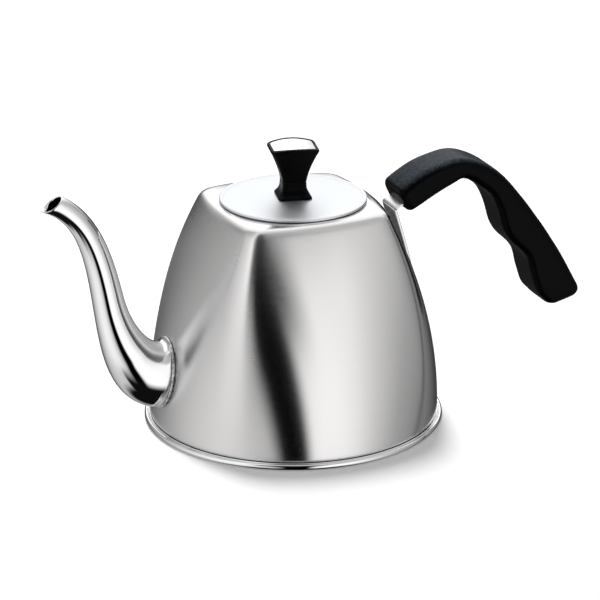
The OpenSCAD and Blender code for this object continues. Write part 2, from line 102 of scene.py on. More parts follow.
class KettleSizes(bpy.types.PropertyGroup):
    """Sizes of the kettle's pieces."""

    foot_radius: length("Foot Radius", "Outer radius of the wall on the base seam", 75.5 * MM)
    foot_height: length("Foot Height", "Height at which the wall starts", 3.6 * MM)
    shoulder_height: length("Shoulder Height", "Height of the shoulder edge", 117.7 * MM)
    shoulder_half_width: length("Shoulder Half Width", "From the axis to a side's middle", 42 * MM)
    lower_pull: length("Lower Pull", "Radius the lower wall is drawn towards", 75 * MM)
    upper_pull: length("Upper Pull", "Half width the upper wall is drawn towards", 63 * MM)
    side_bow: length("Side Bow", "Radius of each side's bow at the shoulder", 150 * MM)
    corner_radius: length("Corner Radius", "Radius of the shoulder's corners", 10 * MM)
    shoulder_edge: length("Shoulder Edge", "Size of the soft edge round the deck", 4 * MM)
    deck_rise: length("Deck Rise", "Rise of the deck to the lid opening", 0.5 * MM)
    opening_radius: length("Opening Radius", "Radius of the lid opening", 34.2 * MM)
    flange_depth: length("Flange Depth", "Depth of the opening's flange", 6 * MM)
    sheet: length("Sheet", "Thickness of the steel sheet", 0.8 * MM)
    spout_root_height: length("Spout Root Height", "Height of the spout's root", 34 * MM)
    spout_root_radius: length("Spout Root Radius", "Half the height of the oval root", 18.2 * MM)
    spout_root_half_width: length("Spout Root Half Width", "Half the width of the root", 15.2 * MM)
    spout_mid_radius: length("Spout Middle Radius", "Radius half way up the spout", 8.2 * MM)
    spout_mouth_radius: length("Spout Mouth Radius", "Radius of the mouth", 5.4 * MM)
    spout_reach: length("Spout Reach", "From the root out to the mouth", 55 * MM)
    spout_rise: length("Spout Rise", "From the root up to the mouth", 98 * MM)
    lip: length("Lip", "Extra length of the pouring lip", 1.6 * MM)
    weld: length("Weld", "Width of the spout's weld", 1.6 * MM)
    strap_width: length("Strap Width", "Width of the handle strap", 16.5 * MM)
    strap_thickness: length("Strap Thickness", "Thickness of the handle strap", 1.6 * MM)
    grip_width: length("Grip Width", "Width of the grip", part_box("grip")[1].y * 2)
    grip_edge: length("Grip Edge", "Radius of the grip's long edges", 4.5 * MM)
    lid_radius: length("Lid Radius", "Outer radius of the lid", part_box("lid_disc")[1].x)
    knob_foot_width: length("Knob Foot Width", "Side of the knob's square foot", 17.5 * MM)
    knob_waist_width: length("Knob Waist Width", "Width of the knob's waist", 12.5 * MM)
    knob_waist_depth: length("Knob Waist Depth", "Depth of the knob's waist", 12 * MM)
    knob_top_width: length("Knob Top Width", "Width of the knob's top", 25 * MM)
    knob_top_depth: length("Knob Top Depth", "Depth of the knob's top at its ends", 17.5 * MM)
    knob_bow: length("Knob Bow", "Bow of the knob's long sides", 2.7 * MM)
    knob_arch: length("Knob Arch", "Rise of the knob's top to its middle", 1.4 * MM)
    mouth_cut: FloatProperty(
        name="Mouth Cut", description="Angle of the mouth from square", default=radians(29),
        min=0.0, max=radians(40), subtype="ANGLE", unit="ROTATION",
    )
    lid_turn: FloatProperty(
        name="Lid Turn", description="Angle at which the lid lies", default=radians(-12),
        min=-pi, max=pi, subtype="ANGLE", unit="ROTATION",
    )


class KettleFinish(bpy.types.PropertyGroup):
    """Colours and surface of the kettle's materials."""

    wall_colour: colour("Wall", "Brushed steel of the body", (0.80, 0.79, 0.785))
    polish_colour: colour("Polish", "Polished steel of the spout and trim", (0.90, 0.90, 0.91))
    lid_colour: colour("Lid", "Satin steel of the lid", (0.90, 0.92, 0.945))
    plastic_colour: colour("Plastic", "Moulded grip and knob", (0.0008, 0.0010, 0.0014))
    # Painted sheen: a lighter bluish grey laid on the upward faces of the grip and knob, where light
    # from above would shine on them
    painted_sheen_colour: colour("Painted Plastic Sheen", "Painted sheen on the upward faces of the grip and knob", (0.034, 0.042, 0.055))
    brass_colour: colour("Brass", "Threaded inserts", (0.72, 0.52, 0.22))
    wall_roughness: share("Wall Roughness", "How far the wall blurs what it mirrors", 0.19)
    lid_roughness: share("Lid Roughness", "How far the lid blurs what it mirrors", 0.46)
    polish_roughness: share("Polish Roughness", "Blur of the polished steel", 0.04)
    plastic_roughness: share("Plastic Roughness", "Sheen of the moulded plastic", 0.36)
    plastic_sheen: share("Plastic Sheen", "Strength of the plastic's mirror", 0.06)


def sizes():
    return bpy.context.scene.kettle_sizes


def finish():
    return bpy.context.scene.kettle_finish


# ---- Curves ---------------

def mix(a, b, t):
    return a + (b - a) * t


def bezier(c, t):
    u = 1 - t
    return u**3 * c[0] + 3 * t * u * u * c[1] + 3 * t * t * u * c[2] + t**3 * c[3]


def bezier_slope(c, t):
    u = 1 - t
    return 3 * u * u * (c[1] - c[0]) + 6 * t * u * (c[2] - c[1]) + 3 * t * t * (c[3] - c[2])


def through(points, t):
    """A smooth curve through every point of a list, at t from 0 to the number of spans."""
    i = min(int(t), len(points) - 2)
    u = t - i
    b, c = points[i], points[i + 1]
    a = 2 * b - c if i == 0 else points[i - 1]
    d = 2 * c - b if i == len(points) - 2 else points[i + 2]
    return (
        2 * b + (c - a) * u + (2 * a - 5 * b + 4 * c - d) * u**2 + (3 * b - a - 3 * c + d) * u**3
    ) / 2


def rounded_rectangle(width, depth, radius, steps=5, parts=1):
    """Corner arcs anticlockwise, with the sides along X cut into a number of parts."""
    arcs = []
    for corner in range(4):
        sx = 1 if corner in (0, 3) else -1
        sy = 1 if corner < 2 else -1
        centre = Vector((sx * (width / 2 - radius), sy * (depth / 2 - radius)))
        arcs.append([
            centre + radius * Vector((cos(a), sin(a)))
            for a in (pi / 2 * (corner + k / steps) for k in range(steps + 1))
        ])
    points = []
    for corner in range(4):
        points += arcs[corner]
        if corner % 2 == 0:
            start, end = arcs[corner][-1], arcs[corner + 1][0]
            points += [start.lerp(end, k / parts) for k in range(1, parts)]
    return points


# ---- Mesh helpers ---------

TURNED_STEPS = 160
ROD_SEGMENTS = 48


def loop_edges(bm, loop):
    return [bm.edges.get((a, b)) for a, b in zip(loop, loop[1:] + loop[:1])]


def extrude_through(bm, rings):
    """Starts from a circle and extrudes it from ring to ring. Returns the first and last loops."""
    loop = bmesh.ops.create_circle(bm, segments=len(rings[0]), radius=1.0)["verts"]
    first = loop
    for vert, point in zip(loop, rings[0]):
        vert.co = point
    for ring in rings[1:]:
        made = bmesh.ops.extrude_edge_only(bm, edges=loop_edges(bm, loop))["geom"]
        fresh = {v for v in made if isinstance(v, bmesh.types.BMVert)}
        loop = [
            next(e.other_vert(v) for e in v.link_edges if e.other_vert(v) in fresh) for v in loop
        ]
        for vert, point in zip(loop, ring):
            vert.co = point
    return first, loop


def shrunk(ring, amount):
    centre = sum(ring, Vector()) / len(ring)
    return [centre.lerp(p, amount) for p in ring]


def closed_by_caps(rings):
    """Adds rings that run in towards the middle of both ends."""
    return (
        [shrunk(rings[0], k) for k in (0.15, 0.55, 0.9)]
        + rings
        + [shrunk(rings[-1], k) for k in (0.9, 0.55, 0.15)]
    )


def solid_loft(rings):
    """A closed form through rings, filled at both ends."""
    bm = bmesh.new()
    for loop in extrude_through(bm, closed_by_caps(rings)):
        bmesh.ops.edgeloop_fill(bm, edges=loop_edges(bm, loop))
    bmesh.ops.recalc_face_normals(bm, faces=bm.faces)
    return bm


def turned_form(profile):
    """Spins a closed profile of (radius, height) points about Z."""
    bm = bmesh.new()
    verts = [bm.verts.new((r, 0, z)) for r, z in profile]
    edges = [bm.edges.new(pair) for pair in zip(verts, verts[1:] + verts[:1])]
    bmesh.ops.spin(
        bm, geom=verts + edges, cent=(0, 0, 0), axis=(0, 0, 1), angle=tau,
        steps=TURNED_STEPS, use_merge=True,
    )
    bmesh.ops.remove_doubles(bm, verts=bm.verts, dist=1e-6)
    bmesh.ops.recalc_face_normals(bm, faces=bm.faces)
    return bm


def rod(radius, start, end):
    """A plain round cutter from one point to another."""
    bm = bmesh.new()
    axis = Vector(end) - Vector(start)
    middle = Matrix.Translation((Vector(start) + Vector(end)) / 2)
    bmesh.ops.create_cone(
        bm, cap_ends=True, segments=ROD_SEGMENTS, radius1=radius, radius2=radius,
        depth=axis.length, matrix=middle @ axis.to_track_quat("Z", "Y").to_matrix().to_4x4(),
    )
    return bm


def point_outwards(bm, height, axis_x):
    """Turns an open shell so that its face at a height looks away from an upright axis."""
    bmesh.ops.recalc_face_normals(bm, faces=bm.faces)
    face = min(bm.faces, key=lambda f: abs(f.calc_center_median().z - height))
    face.normal_update()
    centre = face.calc_center_median()
    if face.normal.x * (centre.x - axis_x) + face.normal.y * centre.y < 0:
        bmesh.ops.reverse_faces(bm, faces=bm.faces)


def as_object(name, bm):
    mesh = bpy.data.meshes.new(name)
    bm.to_mesh(mesh)
    bm.free()
    piece = bpy.data.objects.new(name, mesh)
    bpy.context.scene.collection.objects.link(piece)
    return piece


def settle(piece):
    """Turns what the modifiers make into the piece's own mesh."""
    bpy.context.view_layer.update()
    graph = bpy.context.evaluated_depsgraph_get()
    mesh = bpy.data.meshes.new_from_object(piece.evaluated_get(graph))
    piece.modifiers.clear()
    old = piece.data
    piece.data = mesh
    mesh.name = piece.name
    bpy.data.meshes.remove(old)


def softened(name, bm, levels=2, sheet=None):
    """A piece with its mesh rounded. An open shell first gets the thickness of its sheet."""
    piece = as_object(name, bm)
    if sheet is not None:
        wall = piece.modifiers.new("Sheet", "SOLIDIFY")
        wall.thickness = sheet
        wall.offset = -1.0
    smooth = piece.modifiers.new("Softening", "SUBSURF")
    smooth.levels = smooth.render_levels = levels
    settle(piece)
    return piece


def cut(piece, *cutters):
    """Takes closed shapes out of a piece."""
    for i, bm in enumerate(cutters):
        tool = as_object(f"cutter_{i}", bm)
        step = piece.modifiers.new("Cut", "BOOLEAN")
        step.operation = "DIFFERENCE"
        step.solver = "EXACT"
        step.object = tool
        settle(piece)
        mesh = tool.data
        bpy.data.objects.remove(tool)
        bpy.data.meshes.remove(mesh)


def place(piece, body, material, node, angle=None):
    """Gives a piece its shading and material, and hangs it on its body in place of a CAD node."""
    for face in piece.data.polygons:
        face.use_smooth = True
    if angle is not None:
        piece.data.set_sharp_from_angle(angle=radians(angle))
    piece.data.materials.clear()
    piece.data.materials.append(material)
    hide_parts(node)
    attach(piece, body)


def dress(node, material):
    """Gives a CAD node a finished material."""
    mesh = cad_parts[node].data
    mesh.materials.clear()
    mesh.materials.append(material)


# ---- Material helpers -----

def add(tree, kind, links=None, **settings):
    """Adds a node, sets its properties and fills its inputs with values or other sockets."""
    node = tree.nodes.new("ShaderNode" + kind)
    for name, value in settings.items():
        setattr(node, name, value)
    for name, value in (links or {}).items():
        socket = node.inputs[name]
        if isinstance(value, bpy.types.NodeSocket):
            tree.links.new(value, socket)
        else:
            socket.default_value = value
    return node


def maths(tree, operation, *values):
    return add(tree, "Math", dict(enumerate(values)), operation=operation).outputs[0]


def spaced(keyword):
    return keyword.replace("_", " ")


def remap(tree, value, low, high, to_low, to_high, kind="LINEAR"):
    return add(tree, "MapRange", {
        "Value": value, "From Min": low, "From Max": high, "To Min": to_low, "To Max": to_high,
    }, interpolation_type=kind).outputs["Result"]


def new_group(name, outputs, **inputs):
    """A shader node group that makes numbers of a vector and of inputs with defaults."""
    tree = bpy.data.node_groups.new(name, "ShaderNodeTree")
    sockets = tree.interface
    sockets.new_socket("Vector", in_out="INPUT", socket_type="NodeSocketVector")
    for label, default in inputs.items():
        socket = sockets.new_socket(spaced(label), in_out="INPUT", socket_type="NodeSocketFloat")
        socket.default_value = default
    for label in outputs:
        sockets.new_socket(label, in_out="OUTPUT", socket_type="NodeSocketFloat")
    return tree, tree.nodes.new("NodeGroupInput").outputs, tree.nodes.new("NodeGroupOutput").inputs


def brushing_group():
    """Fine lines that run round the Z axis, as a height and a mask."""
    if "Round Brushing" in bpy.data.node_groups:
        return bpy.data.node_groups["Round Brushing"]
    tree, given, out = new_group("Round Brushing", ["Height", "Mask"], Lines=900.0, Breaks=3.0)
    axes = add(tree, "SeparateXYZ", {"Vector": given["Vector"]}).outputs
    turn = maths(tree, "ARCTAN2", axes["Y"], axes["X"])
    out_from_axis = maths(
        tree, "SQRT",
        maths(tree, "ADD", maths(tree, "MULTIPLY", axes["X"], axes["X"]),
              maths(tree, "MULTIPLY", axes["Y"], axes["Y"])),
    )
    rolled = add(tree, "CombineXYZ", {
        "X": maths(tree, "MULTIPLY", turn, given["Breaks"]),
        "Y": maths(tree, "MULTIPLY", out_from_axis, given["Lines"]),
        "Z": maths(tree, "MULTIPLY", axes["Z"], given["Lines"]),
    }).outputs["Vector"]
    fine = add(tree, "TexNoise", {
        "Vector": rolled, "Scale": 1.0, "Detail": 3.0, "Roughness": 0.6,
    }).outputs["Fac"]
    broad = add(tree, "TexNoise", {
        "Vector": add(tree, "VectorMath", {0: rolled, 1: (0.35, 0.22, 0.22)},
                      operation="MULTIPLY").outputs["Vector"],
        "Scale": 1.0, "Detail": 2.0,
    }).outputs["Fac"]
    height = maths(tree, "ADD", maths(tree, "MULTIPLY", fine, 0.7), maths(tree, "MULTIPLY", broad, 0.3))
    tree.links.new(height, out["Height"])
    tree.links.new(remap(tree, height, 0.35, 0.65, 0.0, 1.0), out["Mask"])
    return tree


def marks_group():
    """Broad soft patches and hair scratches from handling, as a mask of each."""
    if "Handling Marks" in bpy.data.node_groups:
        return bpy.data.node_groups["Handling Marks"]
    tree, given, out = new_group(
        "Handling Marks", ["Patches", "Scratches"], Patch_Scale=18.0, Scratch_Scale=260.0
    )
    patches = add(tree, "TexNoise", {
        "Vector": given["Vector"], "Scale": given["Patch Scale"], "Detail": 4.0, "Distortion": 0.6,
    }).outputs["Fac"]
    tree.links.new(remap(tree, patches, 0.4, 0.66, 0.0, 1.0, "SMOOTHSTEP"), out["Patches"])
    stretched = add(tree, "Mapping", {
        "Vector": given["Vector"], "Rotation": (0.4, 0.9, 0.2), "Scale": (1.0, 0.06, 1.0),
    }).outputs["Vector"]
    hairs = add(tree, "TexNoise", {
        "Vector": stretched, "Scale": given["Scratch Scale"], "Detail": 2.0,
    }).outputs["Fac"]
    tree.links.new(remap(tree, hairs, 0.70, 0.78, 0.0, 1.0), out["Scratches"])
    return tree


def grain_group():
    """The fine pebbled grain of a moulded surface, as a height and a mask."""
    if "Moulded Grain" in bpy.data.node_groups:
        return bpy.data.node_groups["Moulded Grain"]
    tree, given, out = new_group("Moulded Grain", ["Height", "Mask"], Scale=1400.0)
    pebbles = add(tree, "TexVoronoi", {
        "Vector": given["Vector"], "Scale": given["Scale"],
    }, feature="SMOOTH_F1").outputs["Distance"]
    cloud = add(tree, "TexNoise", {
        "Vector": given["Vector"], "Scale": maths(tree, "MULTIPLY", given["Scale"], 0.35),
        "Detail": 3.0,
    }).outputs["Fac"]
    height = maths(tree, "MULTIPLY", maths(tree, "ADD", pebbles, cloud), 0.6)
    tree.links.new(height, out["Height"])
    tree.links.new(remap(tree, height, 0.3, 0.8, 0.0, 1.0), out["Mask"])
    return tree


def new_material(name, base, metallic):
    """A material with a Principled shader, and the piece's own coordinates."""
    material = bpy.data.materials.new(name)
    material.use_nodes = True
    tree = material.node_tree
    shader = tree.nodes["Principled BSDF"]
    shader.inputs["Base Color"].default_value = (*base, 1.0)
    shader.inputs["Metallic"].default_value = metallic
    material.diffuse_color = (*base, 1.0)
    coords = add(tree, "TexCoord").outputs["Object"]
    return material, tree, shader, coords


def grouped(tree, group, coords, **inputs):
    node = add(tree, "Group")
    node.node_tree = group
    tree.links.new(coords, node.inputs["Vector"])
    for label, value in inputs.items():
        node.inputs[spaced(label)].default_value = value
    return node.outputs


def blend(tree, factor, a, b):
    """Mixes two colours, each given as a value or as a socket."""
    node = add(tree, "Mix", {"Factor": factor}, data_type="RGBA")
    for socket, value in ((node.inputs[6], a), (node.inputs[7], b)):
        if isinstance(value, bpy.types.NodeSocket):
            tree.links.new(value, socket)
        else:
            socket.default_value = (*value, 1.0)
    return node.outputs[2]


def uneven(tree, mask, low, high, second_mask, extra):
    """A roughness from low to high by a mask, changed a little by a second mask."""
    change = maths(tree, "MULTIPLY", second_mask, extra)
    return maths(tree, "ADD", remap(tree, mask, 0, 1, low, high), change)


def paint(tree, shader, colour_from, roughness_from):
    tree.links.new(colour_from, shader.inputs["Base Color"])
    tree.links.new(roughness_from, shader.inputs["Roughness"])


def bump(tree, shader, height, strength, distance):
    node = add(tree, "Bump", {"Height": height, "Strength": strength, "Distance": distance})
    tree.links.new(node.outputs["Normal"], shader.inputs["Normal"])


def darker(base, amount):
    return tuple(c * amount for c in base)


def made_once(make):
    """Lets a material that is asked for again be the one already made."""
    def kept_or_made(name, *values, **settings):
        return bpy.data.materials.get(name) or make(name, *values, **settings)
    return kept_or_made


@made_once
def brushed_steel(name, base, roughness, lines=2600.0, smear=0.85, dull_side=None):
    """Steel brushed round the axis, with patches where it was handled.

    A dull side is (x where it starts, x where it is full, roughness it adds).
    """
    material, tree, shader, coords = new_material(name, base, 1.0)
    shader.inputs["Anisotropic"].default_value = smear
    shader.inputs["Anisotropic Rotation"].default_value = 0.25
    brushing = grouped(tree, brushing_group(), coords, Lines=lines, Breaks=1.5)
    marks = grouped(tree, marks_group(), coords, Patch_Scale=14.0, Scratch_Scale=300.0)
    rough = uneven(tree, brushing["Mask"], roughness - 0.02, roughness + 0.02, marks["Patches"], 0.012)
    if dull_side is not None:
        start, full, extra = dull_side
        side = add(tree, "SeparateXYZ", {"Vector": coords}).outputs["X"]
        rough = maths(tree, "ADD", rough, remap(tree, side, start, full, 0.0, extra, "SMOOTHSTEP"))
    paint(tree, shader, blend(tree, brushing["Mask"], darker(base, 0.965), base), rough)
    bump(tree, shader, brushing["Height"], 0.008, 0.2 * MM)
    return material


@made_once
def polished_steel(name, base, roughness):
    """Polished steel with faint patches and hair scratches."""
    material, tree, shader, coords = new_material(name, base, 1.0)
    marks = grouped(tree, marks_group(), coords, Patch_Scale=30.0, Scratch_Scale=500.0)
    rough = uneven(tree, marks["Patches"], roughness, roughness + 0.03, marks["Scratches"], 0.05)
    paint(tree, shader, blend(tree, marks["Patches"], base, darker(base, 0.97)), rough)
    bump(tree, shader, marks["Scratches"], 0.02, 0.1 * MM)
    return material


@made_once
def moulded_plastic(name, base, painted_sheen, roughness, sheen):
    """Black moulded plastic with a fine grain, and a painted sheen that greys its upward faces, broken
    up by the grain.
    """
    material, tree, shader, coords = new_material(name, base, 0.0)
    shader.inputs["Specular IOR Level"].default_value = sheen
    grain = grouped(tree, grain_group(), coords, Scale=1000.0)
    marks = grouped(tree, marks_group(), coords, Patch_Scale=45.0, Scratch_Scale=400.0)
    facing = add(tree, "TexCoord").outputs["Normal"]
    upward = add(tree, "SeparateXYZ", {"Vector": facing}).outputs["Z"]
    # Painted sheen: faces that look upward are blended towards the lighter sheen colour, broken up by
    # the grain
    on_top = remap(tree, upward, 0.5, 0.95, 0.0, 1.0, "SMOOTHSTEP")
    painted_sheen_mask = maths(tree, "MULTIPLY", on_top, remap(tree, grain["Mask"], 0.2, 0.8, 0.3, 1.0))
    rough = uneven(tree, grain["Mask"], roughness - 0.04, roughness + 0.04, marks["Patches"], -0.03)
    paint(tree, shader, blend(tree, painted_sheen_mask, base, painted_sheen), rough)
    bump(tree, shader, grain["Height"], 0.35, 0.12 * MM)
    return material


@made_once
def bent_steel(name, base, roughness, bend_at, along, line):
    """Polished steel with a painted dark line of shade along the press fold."""
    material = polished_steel(name, base, roughness)
    tree = material.node_tree
    shader = tree.nodes["Principled BSDF"]
    coords = add(tree, "TexCoord").outputs["Object"]
    away = add(tree, "VectorMath", {0: coords, 1: bend_at}, operation="SUBTRACT")
    ahead = add(tree, "VectorMath", {0: away.outputs["Vector"], 1: along},
                operation="DOT_PRODUCT")
    off = maths(tree, "ABSOLUTE", ahead.outputs["Value"])
    # Painted shade: a nearly black line along the fold, where the bend would fall into shade
    fold = remap(tree, off, line * 0.6, line * 1.6, 1.0, 0.0)
    clean = shader.inputs["Base Color"].links[0].from_socket
    tree.links.new(blend(tree, fold, clean, darker(base, 0.06)), shader.inputs["Base Color"])
    return material


@made_once
def welded_steel(name, base, roughness):
    """Steel as a weld leaves it, with sooty specks between bright beads."""
    material, tree, shader, coords = new_material(name, base, 1.0)
    marks = grouped(tree, marks_group(), coords, Patch_Scale=420.0, Scratch_Scale=900.0)
    paint(tree, shader, blend(tree, marks["Patches"], base, darker(base, 0.45)),
          remap(tree, marks["Patches"], 0, 1, roughness, roughness + 0.2))
    bump(tree, shader, marks["Patches"], 0.12, 0.1 * MM)
    return material


@made_once
def brass(name, base):
    """Plain brass with dull patches."""
    material, tree, shader, coords = new_material(name, base, 1.0)
    marks = grouped(tree, marks_group(), coords, Patch_Scale=200.0, Scratch_Scale=900.0)
    paint(tree, shader, blend(tree, marks["Patches"], base, darker(base, 0.8)),
          remap(tree, marks["Patches"], 0, 1, 0.25, 0.4))
    return material


def wall_steel():
    """The wall's steel, duller where the spout was welded on and the wall ground again."""
    return brushed_steel("wall steel", finish().wall_colour, finish().wall_roughness,
                         dull_side=(-36 * MM, -54 * MM, 0.17))


def trim_steel():
    return polished_steel("trim steel", finish().polish_colour, finish().polish_roughness)


def weld_steel():
    return welded_steel("weld steel", finish().polish_colour, 0.15)


def black_plastic():
    f = finish()
    return moulded_plastic(
        "black plastic", f.plastic_colour, f.painted_sheen_colour, f.plastic_roughness, f.plastic_sheen
    )


# ---- Body -----------------

BODY_POINTS = 80
WALL_LEVELS = 14
EDGE_LEVELS = 5
FLANGE_BEND_RADIUS = 1.2 * MM
SEAT_WIDTH = 3 * MM

# How far the outline's points crowd towards its corners
CORNER_CROWDING = 0.45

# The corner arcs start this much smaller than the foot, and pass two guide radii on the way up
FOOT_CORNER_LOSS = 15 * MM
CORNER_GUIDES = (34 * MM, 20 * MM)


def level(z):
    s = sizes()
    return (z - s.foot_height) / (s.shoulder_height - s.foot_height)


def side_half_width(t):
    s = sizes()
    return bezier((s.foot_radius, s.lower_pull, s.upper_pull, s.shoulder_half_width), t)


def side_arc_radius(t):
    s = sizes()
    return max(1 / mix(1 / s.foot_radius, 1 / s.side_bow, t), side_half_width(t))


def outline_radius(angle, t):
    """Radius of the body's outline: four bowed sides that four corner arcs join."""
    s = sizes()
    half, bow = side_half_width(t), side_arc_radius(t)
    corner = bezier((s.foot_radius - FOOT_CORNER_LOSS, *CORNER_GUIDES, s.corner_radius), t)
    off = bow - half
    folded = abs((degrees(angle) + 45) % 90 - 45)
    c = (sqrt(2 * (bow - corner) ** 2 - off * off) - off) / 2
    turn = atan2(c, c + off)
    meet = degrees(atan2(bow * sin(turn), bow * cos(turn) - off))
    if folded < meet:
        a = radians(folded)
        return sqrt(bow * bow - (off * sin(a)) ** 2) - off * cos(a)
    a = radians(45 - folded)
    away = c * sqrt(2)
    return away * cos(a) + sqrt(corner * corner - (away * sin(a)) ** 2)


def wall_x(y, z):
    """How far out the wall is at a height, a little sideways of a side's middle."""
    half, bow = side_half_width(level(z)), side_arc_radius(level(z))
    return sqrt(bow * bow - y * y) - (bow - half)


def body_path(angle):
    """Radius and height of the wall at an angle, from the foot over the deck to the flange."""
    s = sizes()
    edge_start = 1 - s.shoulder_edge / (s.shoulder_height - s.foot_height)
    edge = Vector((outline_radius(angle, edge_start), mix(s.foot_height, s.shoulder_height, edge_start)))
    corner = Vector((outline_radius(angle, 1), s.shoulder_height))
    deck_in = corner + Vector((-s.shoulder_edge, s.deck_rise / 4))
    deck_z = s.shoulder_height + s.deck_rise
    bend = Vector((s.opening_radius + FLANGE_BEND_RADIUS, deck_z - FLANGE_BEND_RADIUS))
    seat = Vector((bend.x + SEAT_WIDTH, deck_z))
    path = [
        Vector((outline_radius(angle, t), mix(s.foot_height, s.shoulder_height, t)))
        for t in (edge_start * i / WALL_LEVELS for i in range(WALL_LEVELS + 1))
    ]
    for i in range(1, EDGE_LEVELS + 1):
        t = i / EDGE_LEVELS
        path.append((1 - t) ** 2 * edge + 2 * t * (1 - t) * corner + t * t * deck_in)
    path += [deck_in.lerp(seat, 0.5), seat]
    for a in map(radians, (90, 120, 150, 180)):
        path.append(bend + FLANGE_BEND_RADIUS * Vector((cos(a), sin(a))))
    path.append(Vector((s.opening_radius, deck_z - s.flange_depth)))
    return path


class KETTLE_OT_body(bpy.types.Operator):
    """Make the steel body, with its deck, lid opening and spout port"""

    bl_idname = "kettle.make_body"
    bl_label = "Body"

    def execute(self, context):
        s = sizes()
        angles = []
        for j in range(BODY_POINTS):
            even = tau * j / BODY_POINTS
            angles.append(even + CORNER_CROWDING * sin(4 * even) / 4)
        paths = [body_path(a) for a in angles]
        rings = [
            [Vector((p[i].x * cos(a), p[i].x * sin(a), p[i].y)) for a, p in zip(angles, paths)]
            for i in range(len(paths[0]))
        ]
        bm = bmesh.new()
        extrude_through(bm, rings)
        point_outwards(bm, 0, 0)
        body = softened("body_wall", bm, sheet=s.sheet)
        root = side_half_width(level(s.spout_root_height))
        port_radius = s.spout_root_half_width - s.sheet - 1 * MM
        cut(body, rod(port_radius, (-root - 10 * MM, 0, s.spout_root_height),
                      (-root + 10 * MM, 0, s.spout_root_height)))
        place(body, "kettle", wall_steel(), "body_shell", angle=60)
        return {"FINISHED"}


# ---- Base -----------------

class KETTLE_OT_base(bpy.types.Operator):
    """Make the rolled seam round the foot and finish the base plate"""

    bl_idname = "kettle.make_base"
    bl_label = "Base"

    def execute(self, context):
        low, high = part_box("base_seam")
        wall = sizes().foot_radius
        bead = 1.2 * MM
        tip = high.x - bead
        mid = (low.z + high.z) / 2 - 0.1 * MM
        profile = [(wall - 1.1 * MM, high.z), (wall + 0.15 * MM, high.z),
                   (wall + 0.3 * MM, high.z - 0.75 * MM), (wall + 0.65 * MM, high.z - 0.8 * MM)]
        for a in map(radians, (125, 105, 85, 60, 35, 10, -15, -40, -65, -90)):
            profile.append((tip + bead * cos(a), mid + (high.z - mid - 0.1 * MM) * sin(a)))
        profile += [(wall + 0.2 * MM, low.z), (wall - 1.1 * MM, low.z)]
        seam = softened("rolled_seam", turned_form(profile), levels=1)
        place(seam, "kettle", trim_steel(), "base_seam")
        dress("base_plate", brushed_steel("plate steel", finish().wall_colour, 0.3, lines=600.0))
        return {"FINISHED"}


# ---- Spout ----------------

# Guide points of the centre line's two stretches, as shares of the reach and the rise
SPOUT_LOWER = [Vector(p) for p in ((0, 0), (0.23, 0.01), (0.405, 0.195), (0.485, 0.44))]
SPOUT_UPPER = [Vector(p) for p in ((0.485, 0.44), (0.56, 0.67), (0.655, 0.915), (1, 1))]
SPOUT_POINTS = 32
HALF_SPOUT_STEPS = 18

# Where the oval root ends and the slanted mouth starts, on a centre line that runs from 0 to 2
ROOT_END = 0.5
MOUTH_START = 1.6


def spout_guide(s):
    return (SPOUT_LOWER, s) if s < 1 else (SPOUT_UPPER, s - 1)


def spout_centre(s):
    z = sizes()
    p = bezier(*spout_guide(s))
    root = side_half_width(level(z.spout_root_height)) + z.weld
    return Vector((root + p.x * z.spout_reach, z.spout_root_height + p.y * z.spout_rise))


def spout_along(s):
    v = bezier_slope(*spout_guide(s))
    return Vector((v.x * sizes().spout_reach, v.y * sizes().spout_rise)).normalized()


def spout_radius(s):
    z = sizes()
    root, mid, mouth = z.spout_root_radius, z.spout_mid_radius, z.spout_mouth_radius
    if s < 1:
        return bezier((root, 0.92 * root, 1.13 * mid, mid), s)
    return bezier((mid, 0.89 * mid, 1.07 * mouth, mouth), s - 1)


def root_outline(around, inset, land):
    """A point of the root's oval, a land away from the wall: distance out, sideways, height."""
    z = sizes()
    y = (z.spout_root_half_width - inset) * sin(around)
    height = z.spout_root_height + (z.spout_root_radius - inset) * cos(around)
    return Vector((wall_x(y, height) + land, y, height))


def spout_ring(s):
    z = sizes()
    r, along = spout_radius(s), spout_along(s)
    up = Vector((-along.y, along.x))
    oval = mix(z.spout_root_half_width / z.spout_root_radius, 1, min(1, s / ROOT_END))
    start_along = spout_along(0)
    start_up = Vector((-start_along.y, start_along.x))
    weight = (1 - min(1, s / ROOT_END)) ** 2
    ring = []
    for j in range(SPOUT_POINTS):
        around = tau * j / SPOUT_POINTS
        lean = max(0, (s - MOUTH_START) / (2 - MOUTH_START)) * (
            -z.spout_mouth_radius * tan(z.mouth_cut) * cos(around)
            + z.lip * max(0, -cos(around)) ** 6
        )
        p = spout_centre(s) + r * cos(around) * up + lean * along
        on_wall = root_outline(around, 0, z.weld)
        flat = spout_centre(0) + z.spout_root_radius * cos(around) * start_up
        p += weight * (Vector((on_wall.x, on_wall.z)) - flat)
        ring.append(Vector((-p.x, r * oval * sin(around), p.y)))
    return ring


def weld_rings():
    """Sections of a bead that follows the root, rippled as a run of weld is."""
    z = sizes()
    steps, sides, ripples = 480, 10, 96
    widest = z.weld / 2 - 0.08 * MM
    for i in range(steps):
        around = tau * i / steps
        depth = 0.06 + 0.03 * sin(7 * around) + 0.02 * sin(23 * around)
        bead = widest * (1 - depth * (1 - cos(ripples * around)))
        seat = root_outline(around, z.sheet / 2, z.weld / 2)
        ring = []
        for j in range(sides):
            a = tau * j / sides
            p = root_outline(around, z.sheet / 2 - bead * cos(a), 0)
            ring.append(Vector((-(seat.x + bead * sin(a)), p.y, p.z)))
        yield ring


